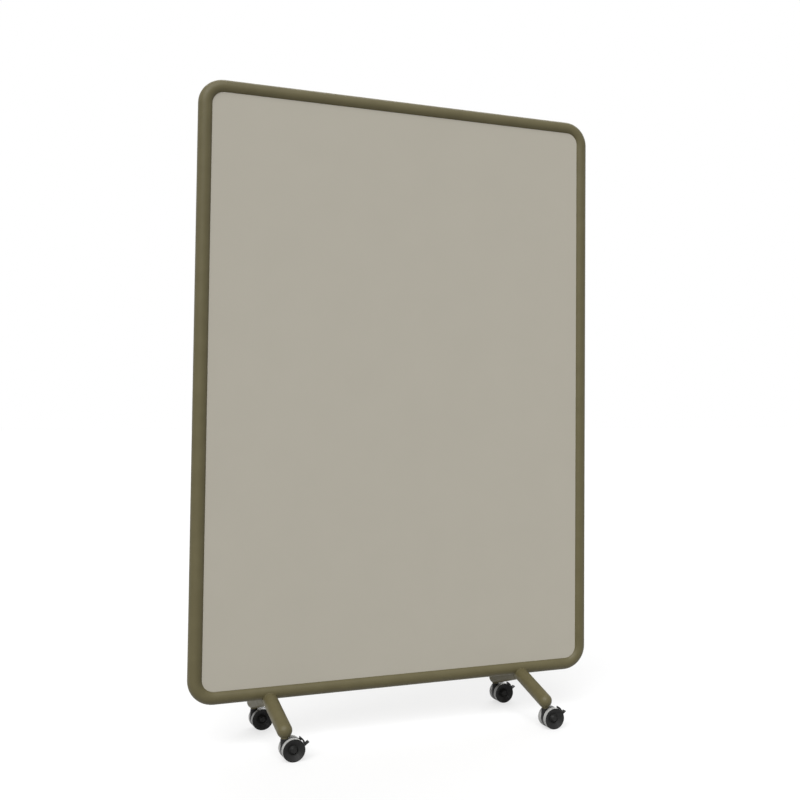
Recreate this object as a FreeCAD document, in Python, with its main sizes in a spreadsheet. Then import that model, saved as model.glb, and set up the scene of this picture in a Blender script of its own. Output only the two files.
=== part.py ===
import FreeCAD, Part
import math
import os
import Sketcher
from types import SimpleNamespace
from FreeCAD import Placement, Rotation, Vector

# A mobile pinboard: a two-sided board held in a loop of bent round tube, on two
# feet of sloping tube arms, each arm ending in a braked twin-wheel castor.
# Millimetres. The origin is on the floor under the middle of the board: X runs
# along the board, the front looks towards -Y, and Z is up.

DIMENSIONS = {
    # Tube frame, two bent hoops that meet half-way up the sides
    "frame_width": 1200.0,
    "frame_height": 1711.0,
    "tube_diameter": 40.0,
    "tube_wall": 2.0,
    "corner_radius": 50.0,
    # Spigots inside the side tubes, and their set screws
    "spigot_length": 160.0,
    "spigot_wall": 2.5,
    "spigot_clearance": 0.1,
    "setscrew_diameter": 6.0,
    "setscrew_length": 8.0,
    "setscrew_offset": 45.0,
    "setscrew_sink": 0.3,
    "setscrew_clearance": 0.1,
    "hexagon_size": 3.0,
    "hexagon_depth": 3.0,
    # Board: a core between two pin sheets, coved to the tube all round
    "core_thickness": 12.0,
    "sheet_thickness": 6.0,
    "edge_clearance": 0.3,
    # Lugs on the inside of the frame, in slots of the core
    "lug_length": 40.0,
    "lug_reach": 18.0,
    "lug_thickness": 4.0,
    "lug_clearance": 0.2,
    "lug_spacing_across": 600.0,
    "lug_spacing_up": 900.0,
    "board_screw_diameter": 4.0,
    "board_screw_length": 8.0,
    "board_screw_head": 8.0,
    "board_screw_head_height": 2.0,
    "board_screw_inset": 10.0,
    "board_screw_clearance": 0.1,
    # Feet
    "foot_spacing": 760.0,
    "foot_span": 360.0,
    "arm_diameter": 40.0,
    "arm_wall": 2.5,
    "arm_slope": 15.0,
    "apex_drop": 16.0,
    "weld_gap": 0.1,
    # Threaded sockets in the domed arm ends
    "socket_diameter": 20.0,
    "socket_length": 28.0,
    # Castor stem
    "thread_diameter": 10.0,
    "thread_length": 22.0,
    "thread_clearance": 0.05,
    "flange_diameter": 17.0,
    "flange_thickness": 1.5,
    "stem_diameter": 11.0,
    "stem_length": 21.5,
    "stem_end_gap": 0.5,
    "swivel_gap": 0.3,
    "running_fit": 0.05,
    "press_fit": 0.02,
    # Castor hood
    "castor_trail": 20.0,
    "arm_clearance": 2.5,
    "hood_width": 16.0,
    "hood_inset": 0.4,
    "hood_skirt": 16.0,
    "hood_rounding": 1.2,
    "neck_diameter": 21.0,
    # Wheels
    "wheel_diameter": 60.0,
    "wheel_width": 17.0,
    "wheel_gap": 0.5,
    "neck_wheel_gap": 0.6,
    "tyre_thickness": 3.0,
    "tyre_rounding": 1.0,
    "tyre_glue": 0.05,
    "tyre_inset": 0.3,
    "rim_flange_thickness": 1.2,
    "rim_flange_inset": 0.3,
    "rim_edge": 1.2,
    "rim_dish_depth": 8.0,
    "rim_web": 2.6,
    "rim_drum_wall": 2.6,
    "rim_rounding": 0.5,
    "boss_diameter": 25.0,
    "boss_top_diameter": 14.0,
    "boss_height": 7.0,
    "hub_diameter": 16.0,
    "axle_diameter": 6.0,
    "axle_end_cover": 3.0,
    "axle_end_gap": 0.3,
    # Brake pedal
    "pin_diameter": 3.0,
    "pin_cover": 3.6,
    "pin_angle": 46.0,
    "pin_end_inset": 0.2,
    "pedal_gap": 3.4,
    "pedal_thickness": 3.0,
    "pedal_width": 16.0,
    "pedal_low_angle": 9.0,
    "pedal_high_angle": 52.0,
    "lip_angle": 12.0,
    "lip_lift": 38.0,
    "lip_length": 12.4,
    "eye_diameter": 10.0,
    "eye_width": 6.0,
    "pedal_neck_width": 8.0,
    "eye_clearance": 0.6,
    "eye_side_gap": 0.3,
}

size = SimpleNamespace(**DIMENSIONS)
X_AXIS = Vector(1, 0, 0)
Y_AXIS = Vector(0, 1, 0)
Z_AXIS = Vector(0, 0, 1)
UPRIGHT = Rotation()
# Sketch point positions
START = 1
END = START + 1
ORIGIN_POINT = (-1, 1)

doc = FreeCAD.newDocument("mobile_pinboard")
sheet = doc.addObject("Spreadsheet::Sheet", "size")
for row, (alias, value) in enumerate(DIMENSIONS.items(), start=1):
    sheet.set(f"A{row}", alias)
    sheet.set(f"B{row}", str(value))
    sheet.setAlias(f"B{row}", alias)
doc.recompute()

nodes = []


def node(item, label):
    """Mark a finished object as one sub-part of the pinboard."""
    item.Label = label
    nodes.append(item)
    return item


def bind(item, **sizes):
    """Tie properties of an object to expressions on the sheet."""
    for name, expression in sizes.items():
        item.setExpression(name, str(expression))


def cylinder(name, radius, height, at, axis=Z_AXIS, angle=None):
    """A cylinder from the point `at` along `axis`."""
    item = doc.addObject("Part::Cylinder", name)
    bind(item, Radius=radius, Height=height)
    if angle:
        bind(item, Angle=angle)
    item.Placement = Placement(at, Rotation(Z_AXIS, axis))
    return item


def cone(name, low_radius, high_radius, height, at, axis):
    """A cone frustum from the point `at` along `axis`."""
    item = doc.addObject("Part::Cone", name)
    bind(item, Radius1=low_radius, Radius2=high_radius, Height=height)
    item.Placement = Placement(at, Rotation(Z_AXIS, axis))
    return item


def ball(name, radius, at):
    """A full sphere."""
    item = doc.addObject("Part::Sphere", name)
    bind(item, Radius=radius)
    item.Placement = Placement(at, UPRIGHT)
    return item


def box(name, length, width, height, low_corner, turn=Placement()):
    """A box from its low corner, in a turned frame."""
    item = doc.addObject("Part::Box", name)
    bind(item, Length=length, Width=width, Height=height)
    item.Placement = turn.multiply(Placement(low_corner, UPRIGHT))
    return item


def fuse(name, *pieces):
    """One solid out of several."""
    item = doc.addObject("Part::MultiFuse", name)
    item.Shapes = list(pieces)
    return item


def cut(name, base, *tools):
    """A solid with tools cut away one after the other."""
    for step, tool in enumerate(tools):
        item = doc.addObject("Part::Cut", f"{name}_{step}")
        item.Base = base
        item.Tool = tool
        base = item
    return base


def group(name, pieces):
    """Separate like solids kept together."""
    item = doc.addObject("Part::Compound", name)
    item.Links = list(pieces)
    return item


def rounded(name, base, radius, wanted):
    """Round off the circular edges that `wanted` picks."""
    doc.recompute()
    item = doc.addObject("Part::Fillet", name)
    item.Base = base
    item.Edges = [
        (number, radius, radius)
        for number, edge in enumerate(base.Shape.Edges, start=1)
        if isinstance(edge.Curve, Part.Circle) and wanted(edge)
    ]
    return item


def of_radius(radius):
    """Pick the circular edges of one radius."""
    return lambda edge: abs(edge.Curve.Radius - radius) < 0.01


# Heights, worked up from the floor
tube_radius = size.tube_diameter / 2
arm_radius = size.arm_diameter / 2
wheel_radius = size.wheel_diameter / 2
slope = math.radians(size.arm_slope)
half_span = size.foot_span / 2
# The wheel passes under the sloping arm as the castor swivels
arm_reach = wheel_radius + arm_radius + size.arm_clearance - size.castor_trail * math.sin(slope)
dome_height = wheel_radius + arm_reach / math.cos(slope)
castor_height = dome_height - arm_radius
apex_height = dome_height + half_span * math.tan(slope)
rail_height = apex_height + size.apex_drop
loop_width = size.frame_width - size.tube_diameter
loop_height = size.frame_height - size.tube_diameter
board_middle = Vector(0, 0, rail_height + loop_height / 2)

TUBE = "size.tube_diameter / 2"
LOOP_WIDTH = "(size.frame_width - size.tube_diameter)"
LOOP_HEIGHT = "(size.frame_height - size.tube_diameter)"
SLOPE = "(size.arm_slope * 1 deg)"
WHEEL_TO_ARM = "(size.wheel_diameter + size.arm_diameter) / 2 + size.arm_clearance"
ARM_REACH = f"({WHEEL_TO_ARM} - size.castor_trail * sin{SLOPE})"
CASTOR_RISE = f"({ARM_REACH} / cos{SLOPE} - size.arm_diameter / 2)"


# Tube frame
def bent_tube(name, radius, up):
    """A bar of round section along one half of the frame's loop, +1 for the upper half."""
    side_length = f"{LOOP_HEIGHT} / 2 - size.corner_radius"
    rail_length = f"{LOOP_WIDTH} - 2 * size.corner_radius"
    half_width = loop_width / 2
    bend = size.corner_radius
    bend_height = up * (loop_height / 2 - bend)
    pieces = []
    for hand, word in ((-1, "left"), (1, "right")):
        foot = board_middle + Vector(hand * half_width, 0, 0)
        pieces.append(cylinder(f"{name}_{word}_side", radius, side_length, foot, Z_AXIS * up))
        torus = doc.addObject("Part::Torus", f"{name}_{word}_bend")
        bind(torus, Radius1="size.corner_radius", Radius2=radius)
        torus.Angle3 = 90
        centre = board_middle + Vector(hand * (half_width - bend), 0, bend_height)
        quarter = {(1, 1): 0, (-1, 1): 90, (-1, -1): 180, (1, -1): 270}[(hand, up)]
        flat_to_upright = Rotation(X_AXIS, 90)
        torus.Placement = Placement(centre, flat_to_upright.multiply(Rotation(Z_AXIS, quarter)))
        pieces.append(torus)
    rail_end = board_middle + Vector(-half_width + bend, 0, up * loop_height / 2)
    pieces.append(cylinder(f"{name}_rail", radius, rail_length, rail_end, X_AXIS))
    return fuse(name, *pieces)


def setscrew_places():
    """Where each set screw's axis leaves the middle of a side tube."""
    for hand in (-1, 1):
        for up in (-1, 1):
            yield hand, up, board_middle + Vector(hand * loop_width / 2, 0, up * size.setscrew_offset)


for up, word in ((1, "upper"), (-1, "lower")):
    outside = bent_tube(f"{word}_hoop_outside", TUBE, up)
    inside = bent_tube(f"{word}_hoop_inside", f"{TUBE} - size.tube_wall", up)
    screw_holes = [
        cylinder(
            f"{word}_hoop_screw_hole_{hand + 1}",
            "size.setscrew_diameter / 2 + size.setscrew_clearance",
            "size.tube_diameter",
            place,
            Y_AXIS,
        )
        for hand, end, place in setscrew_places()
        if end == up
    ]
    node(cut(f"{word}_hoop", outside, inside, *screw_holes), f"frame_{word}_hoop")

SPIGOT = f"({TUBE} - size.tube_wall - size.spigot_clearance)"
for hand, word in ((-1, "left"), (1, "right")):
    low_end = board_middle + Vector(hand * loop_width / 2, 0, -size.spigot_length / 2)
    sleeve = cylinder(f"{word}_sleeve", SPIGOT, "size.spigot_length", low_end)
    bore = cylinder(f"{word}_sleeve_bore", f"{SPIGOT} - size.spigot_wall", "size.spigot_length", low_end)
    screw_holes = [
        cylinder(
            f"{word}_sleeve_hole_{end + 1}",
            "size.setscrew_diameter / 2 + size.setscrew_clearance",
            "size.tube_diameter",
            place,
            Y_AXIS,
        )
        for side, end, place in setscrew_places()
        if side == hand
    ]
    node(cut(f"{word}_spigot", sleeve, bore, *screw_holes), f"frame_spigot_{word}")

set_screws = []
for hand, end, place in setscrew_places():
    name = f"setscrew_{hand + 1}_{end + 1}"
    outer_end = place + Y_AXIS * (tube_radius - size.setscrew_sink)
    shank = cylinder(
        f"{name}_shank",
        "size.setscrew_diameter / 2",
        "size.setscrew_length",
        outer_end,
        -Y_AXIS,
    )
    socket = doc.addObject("Part::Prism", f"{name}_hexagon")
    socket.Polygon = 6
    bind(socket, Circumradius="size.hexagon_size / sqrt(3)", Height="size.hexagon_depth")
    socket.Placement = Placement(outer_end, Rotation(Z_AXIS, -Y_AXIS))
    set_screws.append(cut(name, shank, socket))
node(group("set_screws", set_screws), "frame_set_screws")


# Board
def rounded_outline(sketch, width, height, corner):
    """A rectangle with rounded corners about the sketch's origin, with three named sizes."""
    half_width = width / 2
    half_height = height / 2
    flat_x = half_width - corner
    flat_z = half_height - corner
    corners = ((flat_x, -flat_z, -90), (flat_x, flat_z, 0), (-flat_x, flat_z, 90), (-flat_x, -flat_z, 180))
    runs = (
        (Vector(-flat_x, -half_height), Vector(flat_x, -half_height)),
        (Vector(half_width, -flat_z), Vector(half_width, flat_z)),
        (Vector(flat_x, half_height), Vector(-flat_x, half_height)),
        (Vector(-half_width, flat_z), Vector(-half_width, -flat_z)),
    )
    bottom, right, top, left = (sketch.addGeometry(Part.LineSegment(*run)) for run in runs)
    arcs = []
    for x, z, start in corners:
        circle = Part.Circle(Vector(x, z), Z_AXIS, corner)
        arc = Part.ArcOfCircle(circle, math.radians(start), math.radians(start + 90))
        arcs.append(sketch.addGeometry(arc))
    lines = (bottom, right, top, left)
    for turn, arc in enumerate(arcs):
        sketch.addConstraint(Sketcher.Constraint("Tangent", lines[turn], END, arc, START))
        sketch.addConstraint(Sketcher.Constraint("Tangent", arc, END, lines[(turn + 1) % 4], START))
    for line in (bottom, top):
        sketch.addConstraint(Sketcher.Constraint("Horizontal", line))
    for line in (right, left):
        sketch.addConstraint(Sketcher.Constraint("Vertical", line))
    for arc in arcs[1:]:
        sketch.addConstraint(Sketcher.Constraint("Equal", arcs[0], arc))
    sketch.addConstraint(Sketcher.Constraint("Symmetric", bottom, START, top, START, *ORIGIN_POINT))
    named = (
        ("width", Sketcher.Constraint("DistanceX", left, START, right, START, width)),
        ("height", Sketcher.Constraint("DistanceY", bottom, START, top, START, height)),
        ("corner", Sketcher.Constraint("Radius", arcs[0], corner)),
    )
    for name, constraint in named:
        sketch.renameConstraint(sketch.addConstraint(constraint), name)


def plate(name, inset, inset_words, thickness, depth):
    """A plate with rounded corners, `inset` inside the frame's centre line and `depth` behind its middle."""
    body = doc.addObject("PartDesign::Body", name)
    plane = next(item for item in body.Origin.OriginFeatures if item.Role == "XZ_Plane")
    sketch = body.newObject("Sketcher::SketchObject", f"{name}_outline")
    sketch.AttachmentSupport = [(plane, "")]
    sketch.MapMode = "FlatFace"
    rounded_outline(sketch, loop_width - 2 * inset, loop_height - 2 * inset, size.corner_radius - inset)
    bind(
        sketch,
        **{
            "Constraints.width": f"{LOOP_WIDTH} - 2 * ({inset_words})",
            "Constraints.height": f"{LOOP_HEIGHT} - 2 * ({inset_words})",
            "Constraints.corner": f"size.corner_radius - ({inset_words})",
        },
    )
    pad = body.newObject("PartDesign::Pad", f"{name}_pad")
    pad.Profile = sketch
    pad.SideType = "Symmetric"
    bind(pad, Length=thickness)
    body.Placement = Placement(board_middle + Y_AXIS * depth, UPRIGHT)
    return body


def lug_places():
    """Frames at the middle of each lug's root: local X points inwards and local Z along the tube."""
    half_width = loop_width / 2
    half_height = loop_height / 2
    half_across = size.lug_spacing_across / 2
    half_up = size.lug_spacing_up / 2
    for end in (-1, 1):
        yield Placement(board_middle + Vector(-half_width, 0, end * half_up), UPRIGHT)
        yield Placement(board_middle + Vector(half_width, 0, end * half_up), Rotation(Y_AXIS, 180))
        yield Placement(board_middle + Vector(end * half_across, 0, -half_height), Rotation(Y_AXIS, -90))
        yield Placement(board_middle + Vector(end * half_across, 0, half_height), Rotation(Y_AXIS, 90))


lug_root = tube_radius + size.weld_gap
screw_depth = lug_root + size.board_screw_inset
head_face = -size.core_thickness / 2
head_seat = head_face + size.board_screw_head_height
lugs = []
board_screws = []
core = plate(
    "core_plate",
    tube_radius + size.edge_clearance,
    f"{TUBE} + size.edge_clearance",
    "size.core_thickness",
    0,
)
slack = size.lug_clearance
slots = []
shank_holes = []
head_recesses = []
for number, place in enumerate(lug_places()):
    screw_seat = place.multVec(Vector(screw_depth, head_seat, 0))
    screw_face = place.multVec(Vector(screw_depth, head_face, 0))
    tab = box(
        f"lug_{number}_tab",
        "size.lug_reach",
        "size.lug_thickness",
        "size.lug_length",
        Vector(lug_root, -size.lug_thickness / 2, -size.lug_length / 2),
        place,
    )
    tab_hole = cylinder(
        f"lug_{number}_hole",
        "size.board_screw_diameter / 2 + size.board_screw_clearance",
        "size.board_screw_length",
        screw_seat,
        Y_AXIS,
    )
    lugs.append(cut(f"lug_{number}", tab, tab_hole))
    slots.append(
        box(
            f"slot_{number}",
            "size.lug_reach + 2 * size.lug_clearance + size.weld_gap",
            "size.lug_thickness + 2 * size.lug_clearance",
            "size.lug_length + 2 * size.lug_clearance",
            Vector(tube_radius - slack, -size.lug_thickness / 2 - slack, -size.lug_length / 2 - slack),
            place,
        )
    )
    shank_holes.append(
        cylinder(
            f"shank_hole_{number}",
            "size.board_screw_diameter / 2 + size.board_screw_clearance",
            "size.board_screw_length + size.board_screw_clearance",
            screw_seat,
            Y_AXIS,
        )
    )
    head_recesses.append(
        cylinder(
            f"head_recess_{number}",
            "size.board_screw_head / 2 + size.board_screw_clearance",
            "size.board_screw_head_height",
            screw_face,
            Y_AXIS,
        )
    )
    head = cylinder(
        f"board_screw_{number}_head",
        "size.board_screw_head / 2",
        "size.board_screw_head_height",
        screw_face,
        Y_AXIS,
    )
    shank = cylinder(
        f"board_screw_{number}_shank",
        "size.board_screw_diameter / 2",
        "size.board_screw_length",
        screw_seat,
        Y_AXIS,
    )
    board_screws.append(fuse(f"board_screw_{number}", head, shank))
core_cuts = (group("slots", slots), group("shank_holes", shank_holes), group("head_recesses", head_recesses))
node(cut("core", core, *core_cuts), "core_board")
node(group("lugs", lugs), "frame_lugs")
node(group("board_screws", board_screws), "board_screws")

cove_radius = f"{TUBE} + size.edge_clearance"
coves = [bent_tube("upper_cove", cove_radius, 1), bent_tube("lower_cove", cove_radius, -1)]
sheet_depth = (size.core_thickness + size.sheet_thickness) / 2
for side, word in ((-1, "front"), (1, "rear")):
    blank = plate(
        f"{word}_sheet_blank",
        tube_radius / 2,
        f"{TUBE} / 2",
        "size.sheet_thickness",
        side * sheet_depth,
    )
    node(cut(f"{word}_sheet", blank, *coves), f"{word}_pin_sheet")

# Feet
CASTORS = [
    (f"{hand_word}_{side_word}", hand * size.foot_spacing / 2, side)
    for side, side_word in ((-1, "front"), (1, "rear"))
    for hand, hand_word in ((-1, "left"), (1, "right"))
]
arm_length = f"size.foot_span / 2 / cos{SLOPE} + size.arm_diameter"
ARM_BORE = "size.arm_diameter / 2 - size.arm_wall"
for name, across, side in CASTORS:
    dome_centre = Vector(across, side * half_span, dome_height)
    uphill = Vector(0, -side * math.cos(slope), math.sin(slope))
    outside = fuse(
        f"{name}_arm_outside",
        cylinder(f"{name}_arm_tube", "size.arm_diameter / 2", arm_length, dome_centre, uphill),
        ball(f"{name}_arm_dome", "size.arm_diameter / 2", dome_centre),
    )
    inside = fuse(
        f"{name}_arm_inside",
        cylinder(f"{name}_arm_bore", ARM_BORE, arm_length, dome_centre, uphill),
        ball(f"{name}_arm_hollow", ARM_BORE, dome_centre),
    )
    cope = cylinder(
        f"{name}_arm_cope",
        f"{TUBE} + size.weld_gap",
        "2 * size.arm_diameter",
        Vector(across - size.arm_diameter, 0, rail_height),
        X_AXIS,
    )
    mitre_low_y = -size.weld_gap / 2 if side < 0 else size.weld_gap / 2 - 2 * size.arm_diameter
    mitre = box(
        f"{name}_arm_mitre",
        "2 * size.arm_diameter",
        "2 * size.arm_diameter",
        "4 * size.arm_diameter",
        Vector(across - size.arm_diameter, mitre_low_y, apex_height - 2 * size.arm_diameter),
    )
    socket_hole = cylinder(
        f"{name}_arm_socket_hole",
        "size.socket_diameter / 2 + size.thread_clearance",
        "size.arm_diameter / 2",
        Vector(across, side * half_span, castor_height - size.flange_thickness),
    )
    node(cut(f"{name}_arm", outside, inside, cope, mitre, socket_hole), f"foot_arm_{name}")

    mouth = Vector(across, side * half_span, castor_height)
    plug = cylinder(f"{name}_plug", "size.socket_diameter / 2", "size.socket_length", mouth)
    thread = cylinder(
        f"{name}_plug_thread",
        "size.thread_diameter / 2 + size.thread_clearance",
        "size.socket_length",
        mouth,
    )
    node(cut(f"{name}_socket", plug, thread), f"castor_socket_{name}")

# Castors, all trailing towards +X
hood_radius = wheel_radius - size.hood_inset
HOOD = "(size.wheel_diameter / 2 - size.hood_inset)"
pin_radius = hood_radius - size.pin_cover
PEDAL_INSIDE = "(size.wheel_diameter / 2 + size.pedal_gap)"
EYE_SLOT = "(size.eye_diameter / 2 + size.eye_clearance)"
neck_top = castor_height - size.flange_thickness - size.swivel_gap
stem_low = castor_height - size.flange_thickness - size.stem_length


def around(centre, radius, degrees):
    """A point at a radius from a centre in the XZ plane, counted up from +X."""
    turn = math.radians(degrees)
    return centre + Vector(radius * math.cos(turn), 0, radius * math.sin(turn))


def leaning(centre, degrees):
    """A frame at a centre whose local X leans up from +X."""
    return Placement(centre, Rotation(Y_AXIS, -degrees))


def make_stem(name, swivel):
    """Steel stem: screwed end in the socket, flange under it, swivel pin in the hood."""
    mouth = swivel + Z_AXIS * castor_height
    flange_low = mouth - Z_AXIS * size.flange_thickness
    pieces = (
        cylinder(f"{name}_stem_thread", "size.thread_diameter / 2", "size.thread_length", mouth),
        cylinder(f"{name}_stem_flange", "size.flange_diameter / 2", "size.flange_thickness", flange_low),
        cylinder(f"{name}_stem_pin", "size.stem_diameter / 2", "size.stem_length", flange_low, -Z_AXIS),
    )
    node(fuse(f"{name}_stem", *pieces), f"castor_{name}_stem")


def make_hood(name, swivel, centre, pin):
    """Moulded hood between the wheels, with the neck that turns on the stem."""
    side_face = centre - Y_AXIS * (size.hood_width / 2)
    disc = cylinder(f"{name}_hood_disc", HOOD, "size.hood_width", side_face, Y_AXIS)
    soft_disc = rounded(f"{name}_hood_soft_disc", disc, size.hood_rounding, of_radius(hood_radius))
    below = box(
        f"{name}_hood_below",
        "size.wheel_diameter",
        "2 * size.hood_width",
        "size.wheel_diameter",
        centre - Vector(wheel_radius, size.hood_width, wheel_radius * 2 + size.hood_skirt),
    )
    trimmed = cut(f"{name}_hood_trimmed", soft_disc, below)
    neck_low = Vector(swivel.x, swivel.y, wheel_radius)
    neck_height = f"{CASTOR_RISE} - size.flange_thickness - size.swivel_gap"
    neck = cylinder(f"{name}_neck_bar", "size.neck_diameter / 2", neck_height, neck_low)
    soft_neck = rounded(
        f"{name}_neck_soft",
        neck,
        size.hood_rounding,
        lambda edge: edge.CenterOfMass.z > neck_top - size.hood_rounding,
    )
    wheel_room = [
        cylinder(
            f"{name}_wheel_room_{word}",
            "size.wheel_diameter / 2 + size.neck_wheel_gap",
            "size.wheel_width",
            centre + Y_AXIS * (side * size.hood_width / 2),
            Y_AXIS * side,
        )
        for side, word in ((-1, "near"), (1, "far"))
    ]
    clear_neck = cut(f"{name}_neck", soft_neck, *wheel_room)
    solid = fuse(f"{name}_hood_solid", trimmed, clear_neck)
    stem_bore = cylinder(
        f"{name}_stem_bore",
        "size.stem_diameter / 2 + size.running_fit",
        "size.stem_length + size.stem_end_gap",
        Vector(swivel.x, swivel.y, stem_low - size.stem_end_gap),
    )
    axle_bore = cylinder(
        f"{name}_axle_bore",
        "size.axle_diameter / 2 + size.press_fit",
        "size.hood_width",
        side_face,
        Y_AXIS,
    )
    pin_bore = cylinder(
        f"{name}_pin_bore",
        "size.pin_diameter / 2 + size.press_fit",
        "size.hood_width",
        pin - Y_AXIS * (size.hood_width / 2),
        Y_AXIS,
    )
    half_slot = size.eye_width / 2 + size.eye_side_gap
    slot_width = "size.eye_width + 2 * size.eye_side_gap"
    slot_round = cylinder(f"{name}_slot_round", EYE_SLOT, slot_width, pin - Y_AXIS * half_slot, Y_AXIS)
    slot_mouth = box(
        f"{name}_slot_mouth",
        "size.wheel_diameter / 2",
        slot_width,
        f"2 * {EYE_SLOT}",
        Vector(0, -half_slot, -size.eye_diameter / 2 - size.eye_clearance),
        leaning(pin, size.pin_angle),
    )
    node(
        cut(f"{name}_hood", solid, stem_bore, axle_bore, pin_bore, slot_round, slot_mouth),
        f"castor_{name}_hood",
    )


def make_wheel(name, word, centre, side):
    """One wheel of the pair: a dished rim with a raised boss, and its tyre."""
    axis = Y_AXIS * side
    inner = centre + axis * (size.hood_width / 2 + size.wheel_gap)
    outer = inner + axis * size.wheel_width
    drum_radius = "(size.wheel_diameter / 2 - size.tyre_thickness)"
    flange_radius = "(size.wheel_diameter / 2 - size.rim_flange_inset)"
    base = f"{name}_{word}_rim"
    drum = cylinder(f"{base}_drum", drum_radius, "size.wheel_width", inner, axis)
    flange = cylinder(f"{base}_flange", flange_radius, "size.rim_flange_thickness", outer, axis * -1)
    blank = fuse(f"{base}_blank", drum, flange)
    soft_blank = rounded(
        f"{base}_soft_blank",
        blank,
        size.rim_rounding,
        of_radius(wheel_radius - size.rim_flange_inset),
    )
    dish = cone(
        f"{base}_dish",
        f"{flange_radius} - size.rim_edge",
        "size.boss_diameter / 2",
        "size.rim_dish_depth",
        outer,
        axis * -1,
    )
    hollow = cylinder(
        f"{base}_hollow",
        f"{drum_radius} - size.rim_drum_wall",
        "size.wheel_width - size.rim_dish_depth - size.rim_web",
        inner,
        axis,
    )
    shell = cut(f"{base}_shell", soft_blank, dish, hollow)
    dish_floor = outer - axis * size.rim_dish_depth
    boss = cone(
        f"{base}_boss",
        "size.boss_diameter / 2",
        "size.boss_top_diameter / 2",
        "size.boss_height",
        dish_floor,
        axis,
    )
    soft_boss = rounded(
        f"{base}_soft_boss",
        boss,
        size.rim_rounding,
        of_radius(size.boss_top_diameter / 2),
    )
    hub = cylinder(
        f"{base}_hub",
        "size.hub_diameter / 2",
        "size.wheel_width - size.rim_dish_depth",
        inner,
        axis,
    )
    whole = fuse(f"{base}_whole", shell, soft_boss, hub)
    bore = cylinder(
        f"{base}_bore",
        "size.axle_diameter / 2 + size.running_fit",
        "size.wheel_width - size.axle_end_cover",
        inner,
        axis,
    )
    node(cut(base, whole, bore), f"castor_{name}_rim_{word}")

    tyre_base = f"{name}_{word}_tyre"
    tyre_low = inner + axis * size.tyre_inset
    tyre_width = "size.wheel_width - size.rim_flange_thickness - size.tyre_glue - size.tyre_inset"
    ring = cylinder(f"{tyre_base}_ring", "size.wheel_diameter / 2", tyre_width, tyre_low, axis)
    soft_ring = rounded(f"{tyre_base}_soft_ring", ring, size.tyre_rounding, of_radius(wheel_radius))
    seat = cylinder(f"{tyre_base}_seat", f"{drum_radius} + size.tyre_glue", tyre_width, tyre_low, axis)
    node(cut(tyre_base, soft_ring, seat), f"castor_{name}_tyre_{word}")


def make_axle(name, centre):
    """Steel axle pressed into the hood, ending inside both hubs."""
    hub_depth = size.wheel_gap + size.wheel_width - size.axle_end_cover - size.axle_end_gap
    reach = size.hood_width / 2 + hub_depth
    axle = cylinder(
        f"{name}_axle",
        "size.axle_diameter / 2",
        "size.hood_width + 2 * (size.wheel_gap + size.wheel_width - size.axle_end_cover - size.axle_end_gap)",
        centre - Y_AXIS * reach,
        Y_AXIS,
    )
    node(axle, f"castor_{name}_axle")


def make_pedal(name, centre, pin):
    """Brake pedal: a plate curved round the wheels with a foot lip, on an eye in the hood's slot."""
    base = f"{name}_pedal"
    near_face = Y_AXIS * (size.pedal_width / 2)
    sweep = "size.pedal_high_angle - size.pedal_low_angle"
    outside = f"{PEDAL_INSIDE} + size.pedal_thickness"
    wedge = cylinder(f"{base}_wedge", outside, "size.pedal_width", centre, Z_AXIS, sweep)
    upright = Rotation(X_AXIS, 90)
    turned = upright.multiply(Rotation(Z_AXIS, size.pedal_low_angle))
    wedge.Placement = Placement(centre + near_face, turned)
    room = cylinder(f"{base}_room", PEDAL_INSIDE, "size.pedal_width", centre - near_face, Y_AXIS)
    curve = cut(f"{base}_curve", wedge, room)
    lip_root = around(centre, wheel_radius + size.pedal_gap + size.pedal_thickness / 2, size.lip_angle)
    lip = box(
        f"{base}_lip",
        "size.lip_length",
        "size.pedal_width",
        "size.pedal_thickness",
        Vector(0, -size.pedal_width / 2, -size.pedal_thickness / 2),
        leaning(lip_root, size.lip_lift),
    )
    half_eye = Y_AXIS * (size.eye_width / 2)
    eye = cylinder(f"{base}_eye", "size.eye_diameter / 2", "size.eye_width", pin - half_eye, Y_AXIS)
    arm = box(
        f"{base}_arm",
        f"{PEDAL_INSIDE} + size.pedal_thickness / 2 - ({HOOD} - size.pin_cover)",
        "size.eye_width",
        "size.pedal_neck_width",
        Vector(0, -size.eye_width / 2, -size.pedal_neck_width / 2),
        leaning(pin, size.pin_angle),
    )
    whole = fuse(f"{base}_whole", curve, lip, eye, arm)
    hole = cylinder(
        f"{base}_hole",
        "size.pin_diameter / 2 + size.running_fit",
        "size.eye_width",
        pin - half_eye,
        Y_AXIS,
    )
    node(cut(base, whole, hole), f"castor_{name}_brake_pedal")

    half_pin = Y_AXIS * (size.hood_width / 2 - size.pin_end_inset)
    rivet = cylinder(
        f"{name}_pedal_pin",
        "size.pin_diameter / 2",
        "size.hood_width - 2 * size.pin_end_inset",
        pin - half_pin,
        Y_AXIS,
    )
    node(rivet, f"castor_{name}_pedal_pin")


for name, across, side in CASTORS:
    swivel = Vector(across, side * half_span, 0)
    centre = swivel + Vector(size.castor_trail, 0, wheel_radius)
    pin = around(centre, pin_radius, size.pin_angle)
    make_stem(name, swivel)
    make_hood(name, swivel, centre, pin)
    make_axle(name, centre)
    make_wheel(name, "near", centre, -1)
    make_wheel(name, "far", centre, 1)
    make_pedal(name, centre, pin)

doc.recompute()
faults = [item.Name for item in doc.Objects if "Invalid" in item.State or "Error" in item.State]
faults += [item.Label for item in nodes if item.Shape.isNull() or not item.Shape.isValid()]
if faults:
    raise RuntimeError(f"failed objects: {faults}")

os.makedirs("parts", exist_ok=True)
for item in nodes:
    item.Shape.exportStep(f"parts/{item.Label}.step")
print(f"{len(nodes)} nodes, rail centre {rail_height:.2f} above the floor")
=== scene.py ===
import math
import bpy
from mathutils import Matrix, Vector


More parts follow.
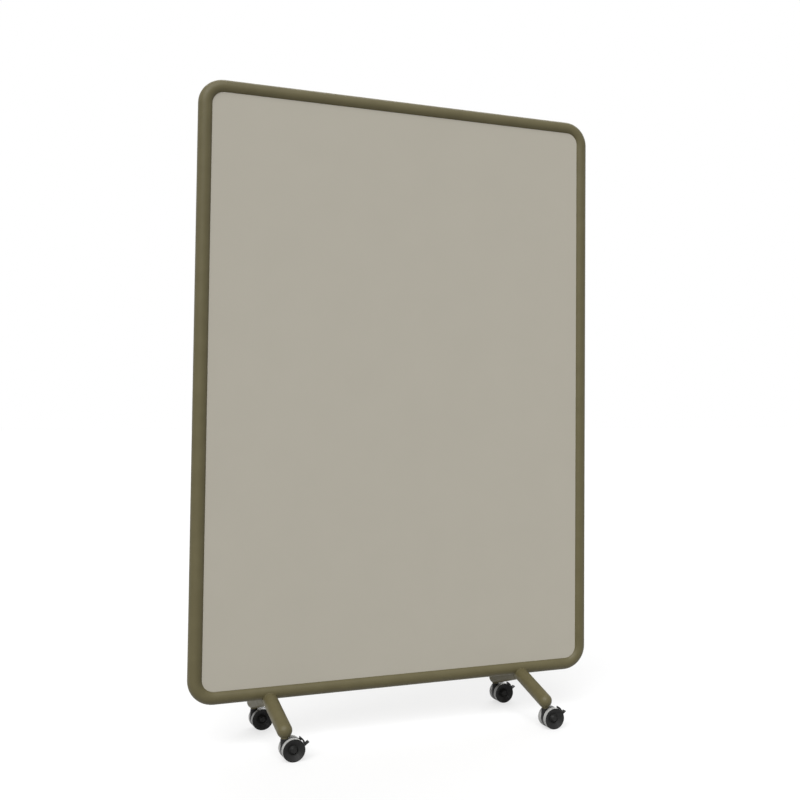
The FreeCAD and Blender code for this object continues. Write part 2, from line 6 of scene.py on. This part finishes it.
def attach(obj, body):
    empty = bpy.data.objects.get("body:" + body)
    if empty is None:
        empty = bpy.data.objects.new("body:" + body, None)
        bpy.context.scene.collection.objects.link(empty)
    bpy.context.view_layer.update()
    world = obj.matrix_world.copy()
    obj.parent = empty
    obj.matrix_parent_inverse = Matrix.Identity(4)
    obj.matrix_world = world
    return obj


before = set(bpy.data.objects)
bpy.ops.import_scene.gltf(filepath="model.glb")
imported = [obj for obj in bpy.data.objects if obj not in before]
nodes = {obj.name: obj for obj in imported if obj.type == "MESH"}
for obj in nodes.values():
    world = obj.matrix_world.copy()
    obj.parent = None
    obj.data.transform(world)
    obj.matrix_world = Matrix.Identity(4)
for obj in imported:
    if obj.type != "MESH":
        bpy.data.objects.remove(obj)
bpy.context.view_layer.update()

# The tube frame: two hoops of bent round steel tube with lugs welded to the inside, powder coated in
# one olive brown after welding. The coat has a fine orange-peel skin and a soft satin gloss.
COAT_DARK = (0.097, 0.083, 0.038)
COAT_LIGHT = (0.110, 0.095, 0.045)
COAT_CLOUD = 0.05
COAT_GLOSS_PATCH = 0.012
COAT_PEEL = 0.0016
COAT_PEEL_DEPTH = 0.00012


class Finish:
    """A material whose noise is measured in metres on the object."""

    def __init__(self, name):
        self.material = bpy.data.materials.new(name)
        self.material.use_nodes = True
        self.tree = self.material.node_tree
        self.shader = self.tree.nodes["Principled BSDF"]
        self.place = self.tree.nodes.new("ShaderNodeTexCoord").outputs["Object"]

    def add(self, kind, inputs):
        """A new node, with each input joined to a socket or set to a value."""
        item = self.tree.nodes.new(kind)
        for key, value in inputs.items():
            if isinstance(value, bpy.types.NodeSocket):
                self.tree.links.new(value, item.inputs[key])
            else:
                item.inputs[key].default_value = value
        return item

    def grain(self, size, detail=2.0, rough=0.5):
        """Noise whose blobs are about `size` metres across."""
        inputs = {"Vector": self.place, "Scale": 1 / size, "Detail": detail, "Roughness": rough}
        return self.add("ShaderNodeTexNoise", inputs).outputs["Fac"]

    def spread(self, value, low=0.0, high=1.0):
        """A noise value, which mostly lies between 0.3 and 0.7, spread over a range."""
        inputs = {"Value": value, "From Min": 0.3, "From Max": 0.7, "To Min": low, "To Max": high}
        return self.add("ShaderNodeMapRange", inputs).outputs["Result"]

    def constant(self, socket, value):
        """One value on one of the shader's own sockets."""
        self.shader.inputs[socket].default_value = value

    def tint(self, tone, dark, light):
        """A colour between two tones, by a value from 0 to 1."""
        ramp = self.add("ShaderNodeValToRGB", {"Fac": tone})
        ramp.color_ramp.elements[0].color = (*dark, 1)
        ramp.color_ramp.elements[1].color = (*light, 1)
        self.tree.links.new(ramp.outputs["Color"], self.shader.inputs["Base Color"])

    def gloss(self, noise, low, high):
        """Roughness that changes over the piece with a noise value."""
        self.tree.links.new(self.spread(noise, low, high), self.shader.inputs["Roughness"])

    def skin(self, height, depth, strength=0.2):
        """A fine relief, `depth` metres deep."""
        bump = self.add("ShaderNodeBump", {"Height": height, "Strength": strength, "Distance": depth})
        self.tree.links.new(bump.outputs["Normal"], self.shader.inputs["Normal"])

    def dress(self, *names):
        """Give CAD nodes this finish in all their slots."""
        for name in names:
            data = nodes[name].data
            data.materials.clear()
            data.materials.append(self.material)


olive = Finish("olive_powder_coat")
olive.tint(olive.spread(olive.grain(COAT_CLOUD)), COAT_DARK, COAT_LIGHT)
olive.gloss(olive.grain(COAT_GLOSS_PATCH), 0.46, 0.56)
olive.skin(olive.grain(COAT_PEEL, detail=1.0), COAT_PEEL_DEPTH, strength=0.25)
olive.constant("Specular IOR Level", 0.3)
olive.dress("frame_upper_hoop", "frame_lower_hoop", "frame_lugs")

# Spigots inside the side tubes, the set screws that lock the hoops to them, and the screws that hold
# the board to the lugs: turned steel, zinc plated, with a faint mottled grain.
ZINC_DARK = (0.50, 0.50, 0.49)
ZINC_LIGHT = (0.64, 0.64, 0.62)
ZINC_MOTTLE = 0.004
ZINC_GLOSS_PATCH = 0.002

zinc = Finish("zinc_plated_steel")
zinc.tint(zinc.spread(zinc.grain(ZINC_MOTTLE, detail=4.0)), ZINC_DARK, ZINC_LIGHT)
zinc.gloss(zinc.grain(ZINC_GLOSS_PATCH), 0.28, 0.42)
zinc.constant("Metallic", 1.0)
zinc.dress("frame_spigot_left", "frame_spigot_right", "frame_set_screws", "board_screws")

# The core board: raw brown wood-fibre board, sawn to fit inside the tube and slotted for the lugs.
# It carries a pin sheet on each face, so it stays hidden between them.
FIBRE_DARK = (0.30, 0.21, 0.12)
FIBRE_LIGHT = (0.44, 0.33, 0.20)
FIBRE_SIZE = 0.0012

fibre = Finish("raw_fibre_board")
fibre.tint(fibre.spread(fibre.grain(FIBRE_SIZE, detail=4.0)), FIBRE_DARK, FIBRE_LIGHT)
fibre.constant("Roughness", 0.9)
fibre.dress("core_board")

# The pin sheets: cork granulate pressed with linseed oil into a dense sheet, warm grey right through,
# and glued to the core. The face is matt, with a very fine fleck and a faint cloudiness.
SHEET_DARK = (0.380, 0.357, 0.299)
SHEET_LIGHT = (0.454, 0.427, 0.362)
SHEET_FLECK = 0.0011
SHEET_FLECK_SHARE = 0.4
SHEET_FLECK_DEPTH = 0.0001
SHEET_CLOUD = 0.12

cork = Finish("warm_grey_pin_surface")
fleck = cork.spread(cork.grain(SHEET_FLECK, detail=3.0, rough=0.6))
cloud = cork.spread(cork.grain(SHEET_CLOUD, detail=3.0), 0.42, 0.58)
blend = cork.add("ShaderNodeMix", {"Factor": SHEET_FLECK_SHARE, "A": cloud, "B": fleck})
cork.tint(blend.outputs["Result"], SHEET_DARK, SHEET_LIGHT)
cork.gloss(fleck, 0.84, 0.92)
cork.skin(fleck, SHEET_FLECK_DEPTH)
cork.constant("Specular IOR Level", 0.3)
cork.dress("front_pin_sheet", "rear_pin_sheet")

# The feet: four sloping steel tube arms with domed ends and a threaded socket in each dome. They are
# welded under the bottom rail in pairs, and coated with it.
CASTORS = ("left_front", "right_front", "left_rear", "right_rear")
for castor in CASTORS:
    olive.dress(f"foot_arm_{castor}", f"castor_socket_{castor}")

# The weld beads of the feet: one along the cope where each arm meets the rail, and one under the
# rail where the two arms of a foot meet. Each is a thin rippled seam, coated with the frame.
TUBE_RADIUS = 0.020
ARM_SLOPE = math.radians(15)
ARM_DROP = 0.016
BEAD_RADIUS = 0.0013
BEAD_RIPPLE = 0.00012
BEAD_STEPS = 160
BEAD_SIDES = 10
RIPPLE_STEPS = 5
hoop = nodes["frame_lower_hoop"]
RAIL_HEIGHT = min((hoop.matrix_world @ vertex.co).z for vertex in hoop.data.vertices) + TUBE_RADIUS


def seam_point(across, side, turn):
    """Where the arm's skin, at a turn round the arm from +X, ends on the rail or on the other arm."""
    up = TUBE_RADIUS * math.sin(turn)
    rise, run = math.sin(ARM_SLOPE), math.cos(ARM_SLOPE)
    mitre = up * rise / run
    reach = (rise * ARM_DROP) ** 2 - (up * rise) ** 2 - (up * run - ARM_DROP) ** 2 + TUBE_RADIUS ** 2
    along = mitre
    if reach > 0:
        along = min(mitre, rise * ARM_DROP - math.sqrt(reach))
    place = Vector((
        across + TUBE_RADIUS * math.cos(turn),
        side * (up * rise - along * run),
        RAIL_HEIGHT - ARM_DROP + along * rise + up * run,
    ))
    return place, along < mitre


def bead(name, path):
    """A rippled round seam along a path of points, closed at both ends."""
    points = []
    across = (path[1] - path[0]).orthogonal()
    for step, place in enumerate(path):
        ahead = (path[min(step + 1, len(path) - 1)] - path[max(step - 1, 0)]).normalized()
        across = (across - across.dot(ahead) * ahead).normalized()
        other = ahead.cross(across)
        radius = BEAD_RADIUS + BEAD_RIPPLE * math.sin(2 * math.pi * step / RIPPLE_STEPS)
        for number in range(BEAD_SIDES):
            turn = 2 * math.pi * number / BEAD_SIDES
            points.append(place + radius * (math.cos(turn) * across + math.sin(turn) * other))
    faces = []
    for step in range(len(path) - 1):
        for number in range(BEAD_SIDES):
            low = step * BEAD_SIDES + number
            next_low = step * BEAD_SIDES + (number + 1) % BEAD_SIDES
            faces.append((low, next_low, next_low + BEAD_SIDES, low + BEAD_SIDES))
    last = (len(path) - 1) * BEAD_SIDES
    faces.append(tuple(reversed(range(BEAD_SIDES))))
    faces.append(tuple(range(last, last + BEAD_SIDES)))
    mesh = bpy.data.meshes.new(name)
    mesh.from_pydata([tuple(point) for point in points], [], faces)
    mesh.shade_smooth()
    mesh.materials.append(olive.material)
    piece = bpy.data.objects.new(name, mesh)
    bpy.context.scene.collection.objects.link(piece)
    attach(piece, "frame")


for castor in CASTORS:
    vertices = nodes[f"foot_arm_{castor}"].data.vertices
    across = (min(v.co.x for v in vertices) + max(v.co.x for v in vertices)) / 2
    side = -1 if castor.endswith("front") else 1
    seam = [seam_point(across, side, 2 * math.pi * step / BEAD_STEPS) for step in range(BEAD_STEPS)]
    start = next(step for step in range(BEAD_STEPS) if seam[step][1] and not seam[step - 1][1])
    seam = seam[start:] + seam[:start]
    bead(f"foot_weld_{castor}", [place for place, on_rail in seam if on_rail])
    if side < 0:
        bead(f"foot_mitre_weld_{castor.split('_')[0]}", [place for place, on_rail in seam if not on_rail])

# Castor stems: turned steel pins with a flange, screwed into the sockets. They are black passivated,
# with the dull sheen and faint mottling of that finish.
PASSIVATED_DARK = (0.022, 0.022, 0.023)
PASSIVATED_LIGHT = (0.036, 0.036, 0.036)
PASSIVATED_MOTTLE = 0.003
PASSIVATED_GLOSS_PATCH = 0.0015

black_steel = Finish("black_passivated_steel")
mottle = black_steel.spread(black_steel.grain(PASSIVATED_MOTTLE, detail=3.0))
black_steel.tint(mottle, PASSIVATED_DARK, PASSIVATED_LIGHT)
black_steel.gloss(black_steel.grain(PASSIVATED_GLOSS_PATCH), 0.40, 0.52)
for castor in CASTORS:
    black_steel.dress(f"castor_{castor}_stem")

# Wheel axles and pedal pins: plain steel rod cut to length and pressed into the hoods, zinc plated
# like the screws of the frame.
for castor in CASTORS:
    zinc.dress(f"castor_{castor}_axle", f"castor_{castor}_pedal_pin")

# Castor hoods, wheel rims and brake pedals: black nylon, moulded in tools with a fine spark grain.
# The hood turns on its stem, the rims run on the axle, and the pedal tips on its pin.
NYLON_DARK = (0.015, 0.015, 0.015)
NYLON_LIGHT = (0.021, 0.021, 0.020)
NYLON_CLOUD = 0.006
NYLON_GLOSS_PATCH = 0.003
NYLON_SPARK = 0.0005
NYLON_SPARK_DEPTH = 0.00005

nylon = Finish("black_nylon")
nylon.tint(nylon.spread(nylon.grain(NYLON_CLOUD, detail=3.0)), NYLON_DARK, NYLON_LIGHT)
nylon.gloss(nylon.grain(NYLON_GLOSS_PATCH), 0.36, 0.48)
nylon.skin(nylon.grain(NYLON_SPARK, detail=1.0), NYLON_SPARK_DEPTH)
nylon.constant("Specular IOR Level", 0.14)
for castor in CASTORS:
    for piece in ("hood", "rim_near", "rim_far", "brake_pedal"):
        nylon.dress(f"castor_{castor}_{piece}")

# Tyres: soft light grey polyurethane, moulded as a ring and pressed on each rim. The tread is matt
# and a little dusty.
TREAD_DARK = (0.36, 0.36, 0.35)
TREAD_LIGHT = (0.44, 0.44, 0.43)
TREAD_DUST = 0.008
TREAD_GRAIN = 0.0007
TREAD_GRAIN_DEPTH = 0.00006

tread = Finish("light_grey_tread")
dust = tread.spread(tread.grain(TREAD_DUST, detail=4.0))
tread.tint(dust, TREAD_DARK, TREAD_LIGHT)
tread.gloss(dust, 0.5, 0.65)
tread.skin(tread.grain(TREAD_GRAIN, detail=1.0), TREAD_GRAIN_DEPTH)
for castor in CASTORS:
    for side in ("near", "far"):
        tread.dress(f"castor_{castor}_tyre_{side}")

# The studio floor: a wide matt white sheet that keeps the shadow of the object. It glows a little
# where the eye sees it, so that it looks white without throwing more light up.
FLOOR_HALF = 60.0
FLOOR_TONE = 0.30
FLOOR_LIFT = 0.66


def seen_directly(tree):
    """1 where the studio is seen by the eye, in a reflection or through glass, else 0."""
    path = tree.nodes.new("ShaderNodeLightPath")
    total = path.outputs["Is Camera Ray"]
    for word in ("Is Glossy Ray", "Is Transmission Ray"):
        larger = tree.nodes.new("ShaderNodeMath")
        larger.operation = "MAXIMUM"
        tree.links.new(total, larger.inputs[0])
        tree.links.new(path.outputs[word], larger.inputs[1])
        total = larger.outputs[0]
    return total


white = Finish("white_floor")
white.constant("Base Color", (FLOOR_TONE, FLOOR_TONE, FLOOR_TONE, 1))
white.constant("Roughness", 0.9)
white.constant("Specular IOR Level", 0.0)
white.constant("Emission Color", (1, 1, 1, 1))
lift = white.add("ShaderNodeMapRange", {"Value": seen_directly(white.tree), "To Max": FLOOR_LIFT})
white.tree.links.new(lift.outputs["Result"], white.shader.inputs["Emission Strength"])
floor_mesh = bpy.data.meshes.new("floor")
floor_mesh.from_pydata(
    [(-FLOOR_HALF, -FLOOR_HALF, 0), (FLOOR_HALF, -FLOOR_HALF, 0),
     (FLOOR_HALF, FLOOR_HALF, 0), (-FLOOR_HALF, FLOOR_HALF, 0)],
    [],
    [(0, 1, 2, 3)],
)
floor_mesh.materials.append(white.material)
floor = bpy.data.objects.new("floor", floor_mesh)
bpy.context.scene.collection.objects.link(floor)

# The studio surround: an even white backing on all sides. It looks white to the eye, and throws a
# weaker even light on the object.
SURROUND_LEVEL = 0.42
world = bpy.data.worlds.new("white_surround")
bpy.context.scene.world = world
world.use_nodes = True
backing = world.node_tree.nodes["Background"]
backing.inputs["Color"].default_value = (1, 1, 1, 1)
level = world.node_tree.nodes.new("ShaderNodeMapRange")
level.inputs["To Min"].default_value = SURROUND_LEVEL
level.inputs["To Max"].default_value = 1.0
world.node_tree.links.new(seen_directly(world.node_tree), level.inputs["Value"])
world.node_tree.links.new(level.outputs["Result"], backing.inputs["Strength"])

# The studio lights: a broad soft key from high on the left of the front, and a weaker one from
# behind on the right. Both stand so far off that their light is even over the object.
KEY_TOWARD = (0.36, 0.60, -0.71)
KEY_STRENGTH = 2.98
KEY_SPREAD = math.radians(50)
REAR_TOWARD = (-0.30, -0.72, -0.62)
REAR_STRENGTH = 1.60
REAR_SPREAD = math.radians(60)


def broad_light(name, toward, strength, spread):
    """An even light from far away, as soft as a wide panel of the given spread."""
    data = bpy.data.lights.new(name, "SUN")
    data.energy = strength
    data.angle = spread
    lamp = bpy.data.objects.new(name, data)
    lamp.rotation_mode = "QUATERNION"
    lamp.rotation_quaternion = Vector(toward).to_track_quat("-Z", "Y")
    bpy.context.scene.collection.objects.link(lamp)


broad_light("key_light", KEY_TOWARD, KEY_STRENGTH, KEY_SPREAD)
broad_light("rear_light", REAR_TOWARD, REAR_STRENGTH, REAR_SPREAD)

# The camera: about a metre above the floor, to the left of the board, with part of the picture's
# off-centre crop given by the shift.
CAMERA_PLACE = (-1.1814, -3.3957, 0.9126)
CAMERA_TURN = math.radians(-26.824)
CAMERA_PITCH = math.radians(2.834)
CAMERA_ROLL = math.radians(-0.222)
camera_data = bpy.data.cameras.new("camera")
camera_data.lens = 54.575
camera_data.sensor_width = 36.0
camera_data.shift_x = -0.2077
camera_data.shift_y = -0.0576
camera = bpy.data.objects.new("camera", camera_data)
aim = (
    Matrix.Rotation(CAMERA_TURN, 4, "Z")
    @ Matrix.Rotation(CAMERA_PITCH, 4, "X")
    @ Matrix.Rotation(CAMERA_ROLL, 4, "Y")
    @ Matrix.Rotation(math.radians(90), 4, "X")
)
camera.matrix_world = Matrix.Translation(CAMERA_PLACE) @ aim
bpy.context.scene.collection.objects.link(camera)
bpy.context.scene.camera = camera
bpy.context.scene.view_settings.view_transform = "Standard"
